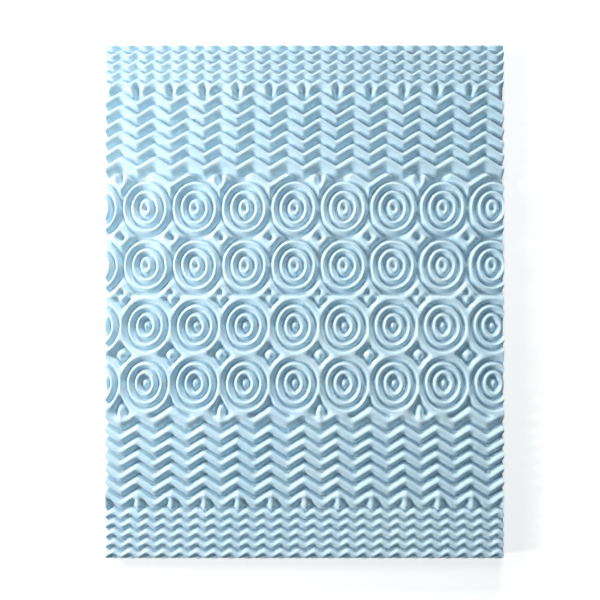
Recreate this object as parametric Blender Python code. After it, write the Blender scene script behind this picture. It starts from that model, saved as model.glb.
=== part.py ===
"""A profile-cut foam mattress topper: one slab of foam, flat underneath, with a cut relief on top.

The relief is described by its crest lines and its floor lines. Both are laid out once, in a tile one ring
wide and half the slab long, and mirrored over the slab. Across the slab's cross line the tile also turns
over: what is a crest above the line is a floor below it, as happens when one cut makes two slabs.

Tile coordinates: x from an axis where the large zigzag points at the cross line, t away from the line.
The slab lies flat: underside at z = 0, origin at the middle of the underside, +Y along the length. Metres.
"""

import math

import bmesh
import bpy
import numpy as np
from mathutils import Vector
from mathutils.geometry import delaunay_2d_cdt

# Slab
WIDTH = 1.524  # queen size, 60 in
LENGTH = 1.965
THICK = 0.076  # underside to the highest crests, 3 in
RELIEF = 0.030  # highest crests to deepest floors
SMALL_SHARE = 0.8  # the end zones' relief, as a share of RELIEF

# Where the pattern sits on the slab
UNIT = WIDTH / 24  # one small zigzag across
TILE = 3 * UNIT  # one ring across
AXIS_X = -0.1358  # an axis of the tiling, from the slab's middle
CROSS_Y = 0.0243  # the cross line, from the slab's middle

# How the slack foam has crept from the pattern: (signed t, shift in y, shift in x, stretch across)
CREEP = (
    (-1.20, -0.0044, 0.0145, 0.009),
    (-0.92, -0.0044, 0.0130, 0.009),
    (-0.78, -0.0025, 0.0110, 0.008),
    (-0.65, -0.0022, 0.0070, 0.006),
    (-0.50, -0.0058, 0.0055, 0.003),
    (-0.36, 0.0010, 0.0015, 0.0),
    (-0.05, 0.0, 0.0010, -0.010),
    (0.20, -0.0005, 0.0, -0.009),
    (0.33, -0.0010, 0.0, -0.005),
    (0.47, 0.0040, 0.0020, -0.002),
    (0.60, 0.0005, 0.0027, 0.001),
    (0.73, -0.0014, 0.0045, 0.004),
    (0.86, -0.0021, 0.0055, 0.006),
    (1.20, -0.0021, 0.0060, 0.006),
)

# Ring zone
RING_STEP = UNIT / 4  # crest to floor
RING_LONG = 0.010  # how much longer than wide each ring is, per side
RING_ROWS = (0.116, 0.336)
RING_SIDES = (8, 8, 12, 12, 16, 16)  # facets of each line, from the middle out
DIMPLE = 0.004  # half length of the hollow in a ring's middle
DIAMOND = (0.031, 0.0365)  # half width and half length of a diamond's crest
DIAMOND_T = 0.226
DIAMOND_HOLLOW = (0.007, 0.009)
CROSS_DIAMOND = ((0.027, 0.007), (0.0, 0.040))
CROSS_DIMPLE = 0.017

# Large zigzag zone
LARGE_FROM = 0.4987
LARGE_PITCH = 0.0505
LARGE_ROWS = 6
LARGE_SWING = 0.02075

# Small zigzag zone, at each end of the slab
SMALL_FROM = 0.8136
SMALL_PITCH = 0.03745
SMALL_ROWS = 6
SMALL_SWING = 0.0104

# Lines where the zones meet: (x in UNITs, t in metres)
RING_SHORE = ((0.0, 0.441), (1.0, 0.478), (2.0, 0.449), (3.0, 0.480))
SHOULDER = ((0.0, 0.388), (0.0, 0.412), (0.45, 0.431), (0.85, 0.447), (1.15, 0.456))
FORK = ((2.67, 0.456), (2.67, 0.440), (2.75, 0.423), (2.9, 0.409), (3.0, 0.400), (3.0, 0.387))
FORK_GROOVE = ((3.0, 0.480), (3.0, 0.428))
FINGER = ((0.5, 0.0), (0.38, -0.010), (0.31, -0.026))  # t from the small zigzag's innermost point
GROOVE_END = 0.812

MERGE = 1e-5
SNAP = 1e-4  # points this near a side are put on it
FLOOR_GRID = 8  # extra points across the underside, so that its facets stay well shaped


def zigzag(level, swing, step, first):
    """Corner points across a tile, starting at level + first * swing."""
    corners = round(TILE / step)
    return [(k * step, level + swing * first * (-1) ** k) for k in range(corners + 1)]


def oval(centre_t, step, sides):
    across = step * RING_STEP
    along = across + RING_LONG
    turns = [2 * math.pi * k / sides for k in range(sides + 1)]
    return [(TILE / 2 + across * math.sin(a), centre_t + along * math.cos(a)) for a in turns]


def in_units(line):
    return [(x * UNIT, t) for x, t in line]


def tile_lines():
    """(crests, floors) of one tile: lists of lines of (x, t)."""
    crests = []
    floors = []
    for row in range(LARGE_ROWS):
        level = LARGE_FROM + row * LARGE_PITCH
        crests.append(zigzag(level, LARGE_SWING, UNIT, -1))
        floors.append(zigzag(level + LARGE_PITCH / 2, LARGE_SWING, UNIT, -1))
    for row in range(SMALL_ROWS):
        level = SMALL_FROM + row * SMALL_PITCH
        crests.append(zigzag(level, SMALL_SWING, UNIT / 2, 1))
        floors.append(zigzag(level + SMALL_PITCH / 2, SMALL_SWING, UNIT / 2, 1))
    for centre_t in RING_ROWS:
        floors.append([(TILE / 2, centre_t - DIMPLE), (TILE / 2, centre_t + DIMPLE)])
        for step, sides in enumerate(RING_SIDES, start=1):
            (crests if step % 2 else floors).append(oval(centre_t, step, sides))
    half_x, half_t = DIAMOND
    hollow_x, hollow_t = DIAMOND_HOLLOW
    for axis, side in ((0.0, 1), (TILE, -1)):
        corner = (axis + side * half_x, DIAMOND_T)
        crests.append([(axis, DIAMOND_T - half_t), corner, (axis, DIAMOND_T + half_t)])
        pit = (axis + side * hollow_x, DIAMOND_T)
        floors.append([(axis, DIAMOND_T - hollow_t), pit, (axis, DIAMOND_T + hollow_t)])
        crests.append([(axis + side * x, t) for x, t in CROSS_DIAMOND])
        floors.append([(axis, CROSS_DIMPLE - DIMPLE), (axis, CROSS_DIMPLE + DIMPLE)])
    crests += [in_units(SHOULDER), in_units(FORK)]
    floors += [in_units(RING_SHORE), in_units(FORK_GROOVE)]
    groove_foot = LARGE_FROM + (LARGE_ROWS - 0.5) * LARGE_PITCH - LARGE_SWING
    finger_top = SMALL_FROM - SMALL_SWING
    for axis, sides in ((0, (1,)), (2, (1, -1))):
        floors.append([(axis * UNIT, GROOVE_END), (axis * UNIT, groove_foot)])
        for side in sides:
            crests.append([((axis + side * x) * UNIT, finger_top + t) for x, t in FINGER])
    return crests, floors


def segments(lines):
    return np.array([pair for line in lines for pair in zip(line, line[1:])])


def nearest(points, pieces):
    """Distance from each point to the nearest of the segments."""
    best = np.full(len(points), np.inf)
    for start, end in pieces:
        along = end - start
        reach = np.clip((points - start) @ along / max(along @ along, 1e-12), 0, 1)
        best = np.minimum(best, np.linalg.norm(points - start - reach[:, None] * along, axis=1))
    return best


def relief_at(points, crests, floors):
    """-1 on a floor line to 1 on a crest line, for points of (x, signed t) anywhere on the slab."""
    turned = np.where(points[:, 1] < 0, -1.0, 1.0)
    folded = np.abs((points[:, 0] - AXIS_X + TILE) % (2 * TILE) - TILE)
    inside = np.column_stack([folded, np.abs(points[:, 1])])
    over = np.array([1.0, -1.0])
    to_crest = nearest(inside, np.concatenate([segments(crests), segments(floors) * over]))
    to_floor = nearest(inside, np.concatenate([segments(floors), segments(crests) * over]))
    share = (to_floor - to_crest) / np.maximum(to_floor + to_crest, 1e-9)
    return turned * share


def depth_share(t):
    """How much of RELIEF is cut at this distance from the cross line."""
    large_end = LARGE_FROM + (LARGE_ROWS - 1) * LARGE_PITCH
    return np.interp(np.abs(t), (large_end, SMALL_FROM + SMALL_SWING), (1.0, SMALL_SHARE))


def crept(x, t):
    """Pattern points, with signed t, as (x, y) on the slab."""
    knots, along, across, stretch = zip(*CREEP)
    y = CROSS_Y + t + np.interp(t, knots, along)
    return x * (1 + np.interp(t, knots, stretch)) + np.interp(t, knots, across), y


def side_at(side, t):
    """Pattern x of the slab's side, -1 or 1, at a signed t."""
    knots, _, across, stretch = zip(*CREEP)
    return (side * WIDTH / 2 - np.interp(t, knots, across)) / (1 + np.interp(t, knots, stretch))


def slab_ends():
    """The signed t of the slab's -Y and +Y ends."""
    return -LENGTH / 2 - CROSS_Y - CREEP[0][1], LENGTH / 2 - CROSS_Y - CREEP[-1][1]


def pattern_mesh(crests, floors):
    """Points of (x, signed t) and triangles, over the slab and no further."""
    low, high = slab_ends()
    heights = [low] + [knot for knot, *_ in CREEP if low < knot < high] + [high]
    outline = [(side_at(1, t), t) for t in heights] + [(side_at(-1, t), t) for t in reversed(heights)]
    points = list(outline)
    edges = [(k, (k + 1) % len(outline)) for k in range(len(outline))]
    columns = math.ceil(WIDTH / TILE)
    for column in range(-columns, columns + 1):
        left = AXIS_X + column * TILE
        for half in (1, -1):
            for line in crests + floors:
                placed = [(left + (TILE - x if column % 2 else x), half * t) for x, t in line]
                xs = [x for x, _ in placed]
                if max(xs) < -WIDTH / 2 - UNIT / 2 or min(xs) > WIDTH / 2 + UNIT / 2:
                    continue
                first = len(points)
                points += placed
                edges += [(first + k, first + k + 1) for k in range(len(placed) - 1)]
    vertices, _, faces, *_ = delaunay_2d_cdt([Vector(p) for p in points], edges, [], 0, MERGE)
    flat = np.array([tuple(v) for v in vertices])
    kept = []
    for face in faces:
        x, t = flat[list(face)].mean(axis=0)
        if side_at(-1, t) < x < side_at(1, t) and low < t < high:
            kept.append(tuple(face))
    used = sorted({k for face in kept for k in face})
    place = {old: new for new, old in enumerate(used)}
    return flat[used], [tuple(place[k] for k in face) for face in kept]


def rim_of(faces):
    """The directed edges that only one face uses."""
    directed = {(face[k], face[(k + 1) % 3]) for face in faces for k in range(3)}
    return [edge for edge in directed if edge[::-1] not in directed]


def add_underside(mesh, top, rim):
    """Vertical walls under the rim, and the flat underside that closes them."""
    foot = {start: mesh.verts.new((top[start].co.x, top[start].co.y, 0.0)) for start, _ in rim}
    for start, end in rim:
        mesh.faces.new((top[end], top[start], foot[start], foot[end]))
    rim_verts = [foot[start] for start, _ in rim]
    order = {start: k for k, (start, _) in enumerate(rim)}
    edges = [(order[start], order[end]) for start, end in rim]
    inner = []
    for row in range(1, FLOOR_GRID):
        for column in range(1, FLOOR_GRID):
            x = (column / FLOOR_GRID - 0.5) * WIDTH
            y = (row / FLOOR_GRID - 0.5) * LENGTH
            inner.append(mesh.verts.new((x, y, 0.0)))
    everything = rim_verts + inner
    flat = [Vector(v.co[:2]) for v in everything]
    _, _, faces, origins, *_ = delaunay_2d_cdt(flat, edges, [], 0, MERGE)
    for face in faces:
        mesh.faces.new([everything[origins[k][0]] for k in reversed(face)])


def foam_slab():
    crests, floors = tile_lines()
    flat, faces = pattern_mesh(crests, floors)
    middle = THICK - RELIEF / 2
    z = middle + RELIEF / 2 * relief_at(flat, crests, floors) * depth_share(flat[:, 1])
    x, y = crept(flat[:, 0], flat[:, 1])
    x = np.where(np.abs(np.abs(x) - WIDTH / 2) < SNAP, np.sign(x) * WIDTH / 2, x)
    mesh = bmesh.new()
    verts = [mesh.verts.new(co) for co in zip(x, y, z)]
    for face in faces:
        mesh.faces.new([verts[k] for k in face])
    add_underside(mesh, verts, rim_of(faces))
    bmesh.ops.triangulate(mesh, faces=mesh.faces)
    data = bpy.data.meshes.new("foam_topper")
    mesh.to_mesh(data)
    mesh.free()
    return data


def foam_material():
    material = bpy.data.materials.new("foam")
    material.use_nodes = True
    shader = material.node_tree.nodes["Principled BSDF"]
    shader.inputs["Base Color"].default_value = (0.48, 0.69, 0.80, 1.0)
    shader.inputs["Roughness"].default_value = 0.9
    return material


def main():
    for old in list(bpy.data.objects):
        bpy.data.objects.remove(old, do_unlink=True)
    data = foam_slab()
    data.materials.append(foam_material())
    topper = bpy.data.objects.new("foam_topper", data)
    bpy.context.scene.collection.objects.link(topper)


main()
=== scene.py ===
"""Looks of the foam mattress topper: a fine surface with the cut relief, foam, floor, light and camera.

The relief comes from its crest lines and its floor lines, laid out once in a tile and mirrored over the
slab. Across the slab's cross line the tile also turns over: a crest above the line is a floor below it.

Tile coordinates: x from an axis where the large zigzag points at the cross line, t away from the line. On
the slab t is signed, and the half with negative t is the one that is turned over.
Metres, +Z up, in the CAD model's frame.
"""

import math

import bmesh
import bpy
import numpy as np
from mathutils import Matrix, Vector, noise
from mathutils.geometry import delaunay_2d_cdt


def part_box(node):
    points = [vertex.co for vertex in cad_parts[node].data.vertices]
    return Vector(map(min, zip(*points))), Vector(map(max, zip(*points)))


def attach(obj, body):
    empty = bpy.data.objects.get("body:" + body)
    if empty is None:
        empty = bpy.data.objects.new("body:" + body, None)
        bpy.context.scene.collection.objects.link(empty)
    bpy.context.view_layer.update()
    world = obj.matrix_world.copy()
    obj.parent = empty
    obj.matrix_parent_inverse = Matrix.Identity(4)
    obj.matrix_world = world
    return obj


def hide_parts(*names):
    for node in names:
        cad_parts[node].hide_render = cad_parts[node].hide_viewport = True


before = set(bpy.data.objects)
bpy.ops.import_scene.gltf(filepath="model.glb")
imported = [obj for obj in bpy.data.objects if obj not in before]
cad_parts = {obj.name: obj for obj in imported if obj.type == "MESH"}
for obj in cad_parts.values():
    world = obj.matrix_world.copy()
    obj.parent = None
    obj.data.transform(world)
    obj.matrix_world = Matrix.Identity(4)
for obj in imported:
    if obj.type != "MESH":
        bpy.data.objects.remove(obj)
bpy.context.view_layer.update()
LOW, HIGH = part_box("foam_topper")

# Slab
WIDTH = HIGH[0] - LOW[0]
LENGTH = HIGH[1] - LOW[1]
THICK = HIGH[2] - LOW[2]
RELIEF = 0.030  # highest crests to deepest floors
SMALL_SHARE = 0.8  # the end zones' relief, as a share of RELIEF

# Where the pattern sits on the slab
UNIT = WIDTH / 24  # one small zigzag across
TILE = 3 * UNIT  # one ring across
AXIS_X = -0.1358  # an axis of the tiling, from the slab's middle
CROSS_Y = 0.0243  # the cross line, from the slab's middle

# How the slack foam has crept from the pattern: (signed t, shift in y, shift in x, stretch across)
CREEP = (
    (-1.20, -0.0044, 0.0145, 0.009),
    (-0.92, -0.0044, 0.0130, 0.009),
    (-0.78, -0.0025, 0.0110, 0.008),
    (-0.65, -0.0022, 0.0070, 0.006),
    (-0.50, -0.0058, 0.0055, 0.003),
    (-0.36, 0.0010, 0.0015, 0.0),
    (-0.05, 0.0, 0.0010, -0.010),
    (0.20, -0.0005, 0.0, -0.009),
    (0.33, -0.0010, 0.0, -0.005),
    (0.47, 0.0040, 0.0020, -0.002),
    (0.60, 0.0005, 0.0027, 0.001),
    (0.73, -0.0014, 0.0045, 0.004),
    (0.86, -0.0021, 0.0055, 0.006),
    (1.20, -0.0021, 0.0060, 0.006),
)

# Ring zone
RING_STEP = UNIT / 4  # crest to floor
RING_LONG = 0.010  # how much longer than wide each ring is, per side
RING_ROWS = (0.116, 0.336)
RING_LINES = 6  # crests and floors by turns, from the middle out
DIMPLE = 0.004  # half length of the hollow in a ring's middle
DIAMOND = (0.031, 0.0365)  # half width and half length of a diamond's crest
DIAMOND_T = 0.226
DIAMOND_HOLLOW = (0.007, 0.009)  # half width and half length of the floor line in its middle
CROSS_DIAMOND = ((0.027, 0.007), (0.0, 0.040))  # crest of the small diamond at the cross line
CROSS_DIMPLE = 0.017

# Large zigzag zone
LARGE_FROM = 0.4987  # t of the first crest
LARGE_PITCH = 0.0505  # crest to crest
LARGE_ROWS = 6
LARGE_SWING = 0.02075  # how far a corner swings to either side

# Small zigzag zone, at each end of the slab
SMALL_FROM = 0.8136
SMALL_PITCH = 0.03745
SMALL_ROWS = 6
SMALL_SWING = 0.0104

# Lines where the zones meet: (x in UNITs, t in metres)
RING_SHORE = ((0.0, 0.441), (1.0, 0.478), (2.0, 0.449), (3.0, 0.480))
SHOULDER = ((0.0, 0.388), (0.0, 0.412), (0.45, 0.431), (0.85, 0.447), (1.15, 0.456))
FORK = ((2.67, 0.456), (2.67, 0.440), (2.75, 0.423), (2.9, 0.409), (3.0, 0.400), (3.0, 0.387))
FORK_GROOVE = ((3.0, 0.480), (3.0, 0.428))
FINGER = ((0.5, 0.0), (0.38, -0.010), (0.31, -0.026))  # t from the small zigzag's innermost point
GROOVE_END = 0.812

# Rounding of the relief, worked out on a grid over one tile
ROUND = 0.0048  # how far crests, floors and corners are rounded
ROUND_GAIN = 1.54  # gives back the height that the rounding takes
FULLNESS = 0.45  # how much wider the crests are than the floors
GRID = 0.0015
GRID_MARGIN = 0.02  # rows of the grid that reach past the cross line and the slab's end

# Points of the fine surface
LINE_STEP = 0.0070  # along crests and floors
ARM_STEP = 0.0100  # along the long straight arms of the large zigzag
ARM_SPAN = 0.03  # a line whose first leg reaches this far across is such an arm
BESIDE = 0.003  # from a crest or floor to the row of points on either side of it
BESIDE_STEP = 1.15 * LINE_STEP
FOLD_STEP = LARGE_PITCH / 8  # along the folds where zigzag arms meet
FILL_STEP = 0.0080  # everywhere else
FRAME_GAP = 1e-4  # least distance to points that are already there, for each kind of point
LINE_GAP = 1e-3
BESIDE_GAP = 2.2e-3
FILL_GAP = 5.0e-3
BESIDE_MARGIN = 0.002  # least distance from the tile's edges
FILL_MARGIN = 0.003
CELL = 0.008  # of the table that finds nearby points, larger than every gap
MERGE = 1e-6
SNAP = 1e-4  # points this near a side are put on it

# Cut sides and underside
WALL_ROWS = (0.98, 0.9, 0.6, 0.3, 0.05, 0.0)  # heights down a cut side, as shares of it
RIM_SOFT = 0.0012  # how far the two sides together draw in at their bottom edge
UNDER_STEP = 0.06
SHARP = math.radians(75)  # edges sharper than this are shaded as edges

# Unevenness of cut foam: how far it moves the surface, and its waves in a metre
DRIFT = 0.0016
DRIFT_WAVES = 14
DRIFT_PLACE = 3.0
DRIFT_SEED = 1  # places the vector noise, which the clock would otherwise place
SWELL = 0.0010
SWELL_WAVES = 9
SWELL_PLACE = 11.0
STILL_EDGE = 0.012  # the drift fades out over this distance from the slab's edge

# Foam: (place on the ramp, colour), and the shader's own sockets
FOAM_COLOURS = (
    (0.3, (0.58, 0.78, 0.89, 1)),
    (0.7, (0.64, 0.82, 0.91, 1)),
)
FOAM_SURFACE = {
    "Roughness": 0.85,
    "Specular IOR Level": 0.25,
    "Sheen Weight": 0.15,
    "Sheen Roughness": 0.5,
    "Subsurface Weight": 0.7,
    "Subsurface Radius": (0.8, 0.95, 1.0),
    "Subsurface Scale": 0.008,
}

# Lamps: name, place, size, power in watts, colour
LAMPS = (
    ("key", (-2.05, 0.6, 1.55), 0.9, 38.0, (1.0, 0.98, 0.97)),
    ("side", (-12.0, -2.0, 5.0), 2.0, 1030.0, (1.0, 0.98, 0.97)),
    ("head", (0.0, 12.0, 5.0), 2.0, 1080.0, (1.0, 0.98, 0.97)),
    ("soft", (0.3, 0.8, 2.0), 1.2, 5.0, (1.0, 0.98, 0.97)),
)

# Stage
AMBIENT = (0.55, 0.85, 1.0, 1)
AMBIENT_STRENGTH = 0.12
BACKDROP = (0.86, 0.89, 0.91, 1)  # what the camera sees beyond the floor
FLOOR_HALF = 6.0
FLOOR_COLOUR = (0.7, 0.7, 0.7, 1)
FLOOR_GAP = 0.0005  # from the floor up to the underside
FLOOR_GLOW = 0.62  # keeps the floor white where the light falls off, and lights nothing

# Camera, straight above a point off the slab's middle, with a shift that brings the slab back into view
LENS = 36.8
SENSOR = 36.0
SHIFT = (-0.083, 0.11)
CAMERA_SPOT = (0.1726, -0.2438, THICK + 2.34)
CLIP_END = 50


def zigzag(level, swing, step, first):
    """Corner points across a tile, starting at level + first * swing."""
    corners = round(TILE / step)
    return [(k * step, level + swing * first * (-1) ** k) for k in range(corners + 1)]


def oval(centre_t, step):
    """One line of a ring, as a closed line: step 1 is the innermost."""
    across = step * RING_STEP
    along = across + RING_LONG
    sides = 4 * math.ceil(2 * math.pi * along / LINE_STEP / 4)
    turns = [2 * math.pi * k / sides for k in range(sides + 1)]
    return [(TILE / 2 + across * math.sin(a), centre_t + along * math.cos(a)) for a in turns]


def in_units(line):
    return [(x * UNIT, t) for x, t in line]


def tile_lines():
    """(crests, floors) of one tile: lists of lines of (x, t)."""
    crests = []
    floors = []
    for row in range(LARGE_ROWS):
        level = LARGE_FROM + row * LARGE_PITCH
        crests.append(zigzag(level, LARGE_SWING, UNIT, -1))
        floors.append(zigzag(level + LARGE_PITCH / 2, LARGE_SWING, UNIT, -1))
    for row in range(SMALL_ROWS):
        level = SMALL_FROM + row * SMALL_PITCH
        crests.append(zigzag(level, SMALL_SWING, UNIT / 2, 1))
        floors.append(zigzag(level + SMALL_PITCH / 2, SMALL_SWING, UNIT / 2, 1))
    for centre_t in RING_ROWS:
        floors.append([(TILE / 2, centre_t - DIMPLE), (TILE / 2, centre_t + DIMPLE)])
        for step in range(1, RING_LINES + 1):
            (crests if step % 2 else floors).append(oval(centre_t, step))
    half_x, half_t = DIAMOND
    hollow_x, hollow_t = DIAMOND_HOLLOW
    for axis, side in ((0.0, 1), (TILE, -1)):
        corner = (axis + side * half_x, DIAMOND_T)
        crests.append([(axis, DIAMOND_T - half_t), corner, (axis, DIAMOND_T + half_t)])
        pit = (axis + side * hollow_x, DIAMOND_T)
        floors.append([(axis, DIAMOND_T - hollow_t), pit, (axis, DIAMOND_T + hollow_t)])
        crests.append([(axis + side * x, t) for x, t in CROSS_DIAMOND])
        floors.append([(axis, CROSS_DIMPLE - DIMPLE), (axis, CROSS_DIMPLE + DIMPLE)])
    crests += [in_units(SHOULDER), in_units(FORK)]
    floors += [in_units(RING_SHORE), in_units(FORK_GROOVE)]
    groove_foot = LARGE_FROM + (LARGE_ROWS - 0.5) * LARGE_PITCH - LARGE_SWING
    finger_top = SMALL_FROM - SMALL_SWING
    for axis, sides in ((0, (1,)), (2, (1, -1))):
        floors.append([(axis * UNIT, GROOVE_END), (axis * UNIT, groove_foot)])
        for side in sides:
            crests.append([((axis + side * x) * UNIT, finger_top + t) for x, t in FINGER])
    return crests, floors


def segments(lines):
    return np.array([pair for line in lines for pair in zip(line, line[1:])])


def nearest(points, pieces):
    """Distance from each point to the nearest of the segments."""
    best = np.full(len(points), np.inf)
    for start, end in pieces:
        along = end - start
        reach = np.clip((points - start) @ along / max(along @ along, 1e-12), 0, 1)
        best = np.minimum(best, np.linalg.norm(points - start - reach[:, None] * along, axis=1))
    return best


def relief_at(points, crests, floors):
    """-1 on a floor line to 1 on a crest line, for points of (x, signed t) across a tile."""
    over = np.array([1.0, -1.0])
    turned = np.where(points[:, 1] < 0, -1.0, 1.0)
    inside = np.column_stack([points[:, 0], np.abs(points[:, 1])])
    to_crest = nearest(inside, np.concatenate([segments(crests), segments(floors) * over]))
    to_floor = nearest(inside, np.concatenate([segments(floors), segments(crests) * over]))
    share = (to_floor - to_crest) / (to_floor + to_crest)
    return turned * share


def soften(field, sigma, axis):
    """A Gaussian blur along one axis of a grid, in grid cells, which repeats the end values."""
    reach = math.ceil(3 * sigma)
    kernel = np.exp(-0.5 * (np.arange(-reach, reach + 1) / sigma) ** 2)
    kernel /= kernel.sum()
    pad = [(0, 0), (0, 0)]
    pad[axis] = (reach, reach)
    wide = np.pad(field, pad, mode="symmetric")
    length = field.shape[axis]
    return sum(w * wide.take(range(k, k + length), axis=axis) for k, w in enumerate(kernel))


class SoftRelief:
    """The relief of a tile on a fine grid, rounded as a blade leaves foam, and read back at any point."""

    def __init__(self, crests, floors, far):
        self.low = -GRID_MARGIN
        columns = round(TILE / GRID)
        rows = round((far + 2 * GRID_MARGIN) / GRID)
        self.cell = (TILE / columns, GRID)
        xs = (np.arange(columns) + 0.5) * self.cell[0]
        ts = (np.arange(rows) + 0.5) * self.cell[1] + self.low
        grid_x, grid_t = np.meshgrid(xs, ts)
        share = relief_at(np.column_stack([grid_x.ravel(), grid_t.ravel()]), crests, floors)
        share = soften(share.reshape(grid_x.shape), ROUND / self.cell[1], 0)
        self.share = ROUND_GAIN * soften(share, ROUND / self.cell[0], 1)

    def at(self, points):
        rows, columns = self.share.shape
        inner = 1.001  # keeps the cell after a point inside the grid
        column = np.clip(points[:, 0] / self.cell[0] - 0.5, 0, columns - inner)
        row = np.clip((points[:, 1] - self.low) / self.cell[1] - 0.5, 0, rows - inner)
        c, r = column.astype(int), row.astype(int)
        u, v = column - c, row - r
        this_row = (1 - u) * self.share[r, c] + u * self.share[r, c + 1]
        next_row = (1 - u) * self.share[r + 1, c] + u * self.share[r + 1, c + 1]
        return (1 - v) * this_row + v * next_row


def depth_share(t):
    """How much of RELIEF is cut at this distance from the cross line."""
    large_end = LARGE_FROM + (LARGE_ROWS - 1) * LARGE_PITCH
    return np.interp(np.abs(t), (large_end, SMALL_FROM + SMALL_SWING), (1.0, SMALL_SHARE))


def crept(x, t):
    """Pattern points, with signed t, as (x, y) on the slab."""
    knots, along, across, stretch = zip(*CREEP)
    y = CROSS_Y + t + np.interp(t, knots, along)
    return x * (1 + np.interp(t, knots, stretch)) + np.interp(t, knots, across), y


def side_at(side, t):
    """Pattern x of the slab's side, -1 or 1, at a signed t."""
    knots, _, across, stretch = zip(*CREEP)
    return (side * WIDTH / 2 - np.interp(t, knots, across)) / (1 + np.interp(t, knots, stretch))


def slab_ends():
    """The signed t of the slab's -Y and +Y ends."""
    return -LENGTH / 2 - CROSS_Y - CREEP[0][1], LENGTH / 2 - CROSS_Y - CREEP[-1][1]


class Sampler:
    """Points kept at least a stated gap apart, the first ones placed winning."""

    def __init__(self, cell):
        self.cell = cell
        self.points = []
        self.cells = {}

    def key(self, x, t):
        return math.floor(x / self.cell), math.floor(t / self.cell)

    def near(self, x, t, gap):
        column, row = self.key(x, t)
        for c in (column - 1, column, column + 1):
            for r in (row - 1, row, row + 1):
                for other in self.cells.get((c, r), ()):
                    ox, ot = self.points[other]
                    if math.hypot(ox - x, ot - t) < gap:
                        return other
        return None

    def add(self, x, t, gap):
        """The index of the new point, or of the one that is already there."""
        found = self.near(x, t, gap)
        if found is None:
            found = len(self.points)
            self.points.append((x, t))
            self.cells.setdefault(self.key(x, t), []).append(found)
        return found


def along_line(line, step):
    """Points along a line, its corners among them, about a step apart."""
    spots = [line[0]]
    for (x0, t0), (x1, t1) in zip(line, line[1:]):
        parts = max(1, round(math.hypot(x1 - x0, t1 - t0) / step))
        spots += [(x0 + (x1 - x0) * k / parts, t0 + (t1 - t0) * k / parts) for k in range(1, parts + 1)]
    return spots


def beside_line(line, step, gap):
    """Points on both sides of a line, a gap away from it."""
    for (x0, t0), (x1, t1) in zip(line, line[1:]):
        length = math.hypot(x1 - x0, t1 - t0)
        parts = max(1, round(length / step))
        across_x, across_t = (t1 - t0) / length * gap, -(x1 - x0) / length * gap
        for k in range(parts):
            x = x0 + (x1 - x0) * (k + 0.5) / parts
            t = t0 + (t1 - t0) * (k + 0.5) / parts
            yield x + across_x, t + across_t
            yield x - across_x, t - across_t


def side_line(side, half, far):
    """Where one side of one half of the slab cuts the tile."""
    line = []
    knots = {abs(knot) for knot, *_ in CREEP if abs(knot) < far and knot * half > 0}
    for t in sorted({0.0, far} | knots):
        across = side_at(side, half * t) - AXIS_X
        column = math.floor(across / TILE)
        inside = across - column * TILE
        line.append((TILE - inside if column % 2 else inside, t))
    return line


def tile_mesh(crests, floors):
    """Points and triangles of one tile, with edges along crests, floors and where the slab is cut."""
    low, high = slab_ends()
    far, near = -low, high
    sampler = Sampler(CELL)
    frame_lines = [
        [(0, 0), (TILE, 0)],
        [(TILE, 0), (TILE, far)],
        [(TILE, far), (0, far)],
        [(0, far), (0, 0)],
        [(0, near), (TILE, near)],
    ]
    frame_lines += [side_line(side, half, far) for side in (1, -1) for half in (1, -1)]
    chains = []
    for line in frame_lines:
        chains.append([sampler.add(x, t, FRAME_GAP) for x, t in along_line(line, LINE_STEP)])
    lines = [line for line in crests + floors if min(t for _, t in line) < far]
    for line in lines:
        arm = len(line) > 2 and abs(line[1][0] - line[0][0]) > ARM_SPAN
        spots = along_line(line, ARM_STEP if arm else LINE_STEP)
        chains.append([sampler.add(x, min(t, far), LINE_GAP) for x, t in spots])
    folds = [[(k * UNIT, LARGE_FROM - LARGE_SWING), (k * UNIT, SMALL_FROM)] for k in range(4)]
    folds += [[(k * UNIT / 2, SMALL_FROM), (k * UNIT / 2, far)] for k in range(7)]
    for line in folds:
        for x, t in along_line(line, FOLD_STEP):
            sampler.add(x, t, BESIDE_GAP)
    for line in lines:
        for x, t in beside_line(line, BESIDE_STEP, BESIDE):
            if BESIDE_MARGIN < x < TILE - BESIDE_MARGIN and BESIDE_MARGIN < t < far - BESIDE_MARGIN:
                sampler.add(x, t, BESIDE_GAP)
    for row in range(1, round(far / FILL_STEP)):
        for column in range(1, round(TILE / FILL_STEP)):
            x = (column + 0.5 * (row % 2)) * FILL_STEP
            t = row * FILL_STEP
            if x < TILE - FILL_MARGIN and t < far - FILL_MARGIN:
                sampler.add(x, t, FILL_GAP)
    edges = [pair for chain in chains for pair in zip(chain, chain[1:]) if pair[0] != pair[1]]
    vertices, _, faces, *_ = delaunay_2d_cdt([Vector(p) for p in sampler.points], edges, [], 0, MERGE)
    return np.array([tuple(v) for v in vertices]), np.array([tuple(face) for face in faces])


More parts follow.
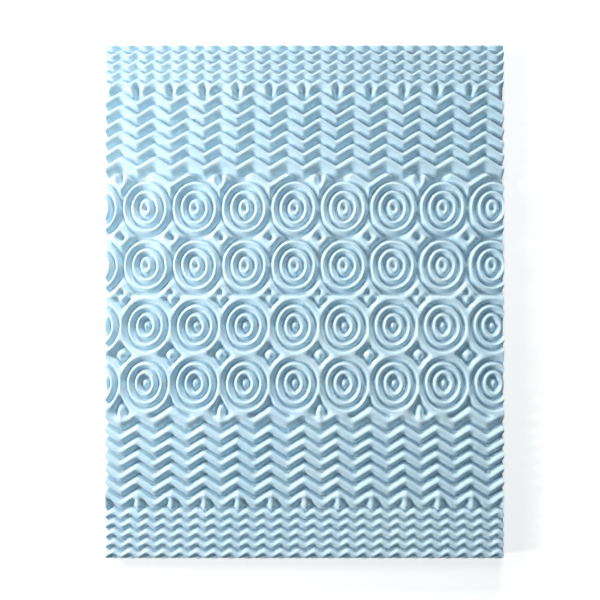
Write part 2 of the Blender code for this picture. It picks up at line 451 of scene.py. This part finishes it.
def slab_top():
    """The whole relief: points (x, y, z) and triangles, with the tile laid over the slab."""
    crests, floors = tile_lines()
    points, faces = tile_mesh(crests, floors)
    low, high = slab_ends()
    relief = SoftRelief(crests, floors, -low).at(points)
    middles = points[faces].mean(axis=1)
    all_points = []
    all_faces = []
    count = 0
    columns = math.ceil(WIDTH / TILE)
    for column in range(-columns, columns + 1):
        flip = column % 2 == 1
        left = AXIS_X + column * TILE
        across = left + TILE - points[:, 0] if flip else left + points[:, 0]
        middle = left + TILE - middles[:, 0] if flip else left + middles[:, 0]
        for half in (1, -1):
            x, y = crept(middle, half * middles[:, 1])
            kept = faces[(np.abs(x) < WIDTH / 2) & (np.abs(y) < LENGTH / 2)]
            if not len(kept):
                continue
            all_points.append(np.column_stack([across, half * points[:, 1], half * relief]))
            all_faces.append((kept if flip == (half < 0) else kept[:, ::-1]) + count)
            count += len(points)
    merged = np.concatenate(all_points)
    tris = np.concatenate(all_faces)
    spots = np.round(merged[:, :2], 5)
    _, first, index = np.unique(spots, axis=0, return_index=True, return_inverse=True)
    tris = index.reshape(-1)[tris]
    tris = tris[(tris[:, 0] != tris[:, 1]) & (tris[:, 1] != tris[:, 2]) & (tris[:, 2] != tris[:, 0])]
    used, tris = np.unique(tris, return_inverse=True)
    merged = merged[first][used]
    share = merged[:, 2] + FULLNESS * (1 - np.minimum(merged[:, 2] ** 2, 1))
    height = THICK - RELIEF / 2 + RELIEF / 2 * share * depth_share(merged[:, 1])
    x, y = crept(merged[:, 0], merged[:, 1])
    x = np.where(np.abs(np.abs(x) - WIDTH / 2) < SNAP, np.sign(x) * WIDTH / 2, x)
    return np.column_stack([x, y, height]), tris.reshape(-1, 3)


def worked(points):
    """The small unevenness of cut foam: crests wander a little and their height varies."""
    noise.seed_set(DRIFT_SEED)
    moved = points.copy()
    for k, (x, y, z) in enumerate(points):
        drift = noise.noise_vector(Vector((x * DRIFT_WAVES, y * DRIFT_WAVES, DRIFT_PLACE)))
        swell = noise.noise(Vector((x * SWELL_WAVES, y * SWELL_WAVES, SWELL_PLACE)))
        edge = min(1.0, (WIDTH / 2 - abs(x)) / STILL_EDGE, (LENGTH / 2 - abs(y)) / STILL_EDGE)
        moved[k] = (x + DRIFT * edge * drift.x, y + DRIFT * edge * drift.y, z + SWELL * swell)
    return moved


def rim_loops(faces):
    """Directed edges used by one face only, as a map from start to end."""
    directed = {(face[k], face[(k + 1) % 3]) for face in faces.tolist() for k in range(3)}
    return {a: b for a, b in directed if (b, a) not in directed}


def add_sides(mesh, points, verts, ring):
    """Rows of faces down the cut sides. Returns the vertices of the bottom row."""
    above = [verts[k] for k in ring]
    for share in WALL_ROWS:
        inset = 0.0 if share else RIM_SOFT
        below = []
        for x, y, z in points[ring]:
            place = (x * (1 - inset / WIDTH * 2), y * (1 - inset / LENGTH * 2), z * share)
            below.append(mesh.verts.new(place))
        for k in range(len(ring)):
            n = (k + 1) % len(ring)
            mesh.faces.new((above[n], above[k], below[k], below[n]))
        above = below
    return above


def add_underside(mesh, rim):
    """The flat underside inside its rim."""
    inner = []
    for row in range(1, round(LENGTH / UNDER_STEP)):
        for column in range(1, round(WIDTH / UNDER_STEP)):
            x = column * UNDER_STEP - WIDTH / 2
            y = row * UNDER_STEP - LENGTH / 2
            if max(abs(x) - WIDTH / 2, abs(y) - LENGTH / 2) < -UNDER_STEP / 2:
                inner.append(mesh.verts.new((x, y, 0.0)))
    under = rim + inner
    edges = [(k, (k + 1) % len(rim)) for k in range(len(rim))]
    _, _, faces, origins, *_ = delaunay_2d_cdt([Vector(v.co[:2]) for v in under], edges, [], 1, MERGE)
    for face in faces:
        mesh.faces.new([under[origins[k][0]] for k in reversed(face)])


def topper_piece():
    points, faces = slab_top()
    points = worked(points)
    mesh = bmesh.new()
    verts = [mesh.verts.new(p) for p in points]
    for face in faces.tolist():
        mesh.faces.new([verts[k] for k in face])
    rim = rim_loops(faces)
    ring = [next(iter(rim))]
    while rim[ring[-1]] != ring[0]:
        ring.append(rim[ring[-1]])
    add_underside(mesh, add_sides(mesh, points, verts, ring))
    bmesh.ops.recalc_face_normals(mesh, faces=mesh.faces)
    data = bpy.data.meshes.new("foam_relief")
    mesh.to_mesh(data)
    mesh.free()
    data.shade_smooth()
    data.set_sharp_from_angle(angle=SHARP)
    piece = bpy.data.objects.new("foam_relief", data)
    bpy.context.scene.collection.objects.link(piece)
    return piece


def link(tree, source, output, target, socket):
    tree.links.new(source.outputs[output], target.inputs[socket])


def node(tree, kind, **settings):
    """A new node with its input sockets set by name."""
    made = tree.nodes.new(kind)
    for name, value in settings.items():
        made.inputs[name].default_value = value
    return made


def foam_material():
    """Pale blue foam: cloudy colour, open pores with a fine grain over them, and soft light inside."""
    material = bpy.data.materials.new("pale_blue_foam")
    material.use_nodes = True
    tree = material.node_tree
    shader = tree.nodes["Principled BSDF"]
    place = tree.nodes.new("ShaderNodeTexCoord")
    cloud = node(tree, "ShaderNodeTexNoise", Scale=3.0, Detail=3.0)
    cells = node(tree, "ShaderNodeTexVoronoi", Scale=520.0)
    grain = node(tree, "ShaderNodeTexNoise", Scale=150.0, Detail=4.0)
    for texture in (cloud, cells, grain):
        link(tree, place, "Object", texture, "Vector")
    ramp = tree.nodes.new("ShaderNodeValToRGB")
    for stop, (position, colour) in zip(ramp.color_ramp.elements, FOAM_COLOURS):
        stop.position = position
        stop.color = colour
    link(tree, cloud, "Fac", ramp, "Fac")
    link(tree, ramp, "Color", shader, "Base Color")
    pore = node(tree, "ShaderNodeBump", Strength=0.25, Distance=0.0006)
    fuzz = node(tree, "ShaderNodeBump", Strength=0.3, Distance=0.0010)
    link(tree, cells, "Distance", pore, "Height")
    link(tree, grain, "Fac", fuzz, "Height")
    link(tree, pore, "Normal", fuzz, "Normal")
    link(tree, fuzz, "Normal", shader, "Normal")
    for name, value in FOAM_SURFACE.items():
        shader.inputs[name].default_value = value
    return material


def floor_piece():
    """A white floor. Its glow is for the camera's rays only, so that it doesn't light the cut sides."""
    corners = [(x * FLOOR_HALF, y * FLOOR_HALF, 0) for x, y in ((-1, -1), (1, -1), (1, 1), (-1, 1))]
    data = bpy.data.meshes.new("floor")
    data.from_pydata(corners, [], [(0, 1, 2, 3)])
    floor = bpy.data.objects.new("floor", data)
    floor.location.z = LOW[2] - FLOOR_GAP
    bpy.context.scene.collection.objects.link(floor)
    material = bpy.data.materials.new("floor_white")
    material.use_nodes = True
    tree = material.node_tree
    shader = tree.nodes["Principled BSDF"]
    shader.inputs["Base Color"].default_value = FLOOR_COLOUR
    shader.inputs["Roughness"].default_value = 0.9
    shader.inputs["Emission Color"].default_value = (FLOOR_GLOW, FLOOR_GLOW, FLOOR_GLOW, 1)
    rays = tree.nodes.new("ShaderNodeLightPath")
    link(tree, rays, "Is Camera Ray", shader, "Emission Strength")
    data.materials.append(material)


def lights():
    """Dim blue light all round, a pale backdrop that only the camera sees, and the lamps."""
    world = bpy.data.worlds.new("studio")
    bpy.context.scene.world = world
    world.use_nodes = True
    tree = world.node_tree
    ambient = tree.nodes["Background"]
    ambient.inputs["Color"].default_value = AMBIENT
    ambient.inputs["Strength"].default_value = AMBIENT_STRENGTH
    backdrop = node(tree, "ShaderNodeBackground", Color=BACKDROP)
    rays = tree.nodes.new("ShaderNodeLightPath")
    mix = tree.nodes.new("ShaderNodeMixShader")
    link(tree, rays, "Is Camera Ray", mix, "Fac")
    link(tree, ambient, "Background", mix, 1)
    link(tree, backdrop, "Background", mix, 2)
    link(tree, mix, "Shader", tree.nodes["World Output"], "Surface")
    for name, spot, size, power, tint in LAMPS:
        light = bpy.data.lights.new(name, "AREA")
        light.energy = power
        light.size = size
        light.color = tint
        lamp = bpy.data.objects.new(name, light)
        lamp.location = spot
        aim = Vector((0.0, 0.0, THICK)) - Vector(spot)
        lamp.rotation_euler = aim.to_track_quat("-Z", "Y").to_euler()
        bpy.context.scene.collection.objects.link(lamp)


def camera():
    data = bpy.data.cameras.new("camera")
    data.lens = LENS
    data.sensor_width = SENSOR
    data.shift_x, data.shift_y = SHIFT
    data.clip_end = CLIP_END
    cam = bpy.data.objects.new("camera", data)
    cam.location = CAMERA_SPOT
    bpy.context.scene.collection.objects.link(cam)
    bpy.context.scene.camera = cam


camera()
lights()
floor_piece()
topper = topper_piece()
topper.data.materials.append(foam_material())
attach(topper, "root")
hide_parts("foam_topper")
bpy.context.scene.view_settings.view_transform = "Standard"
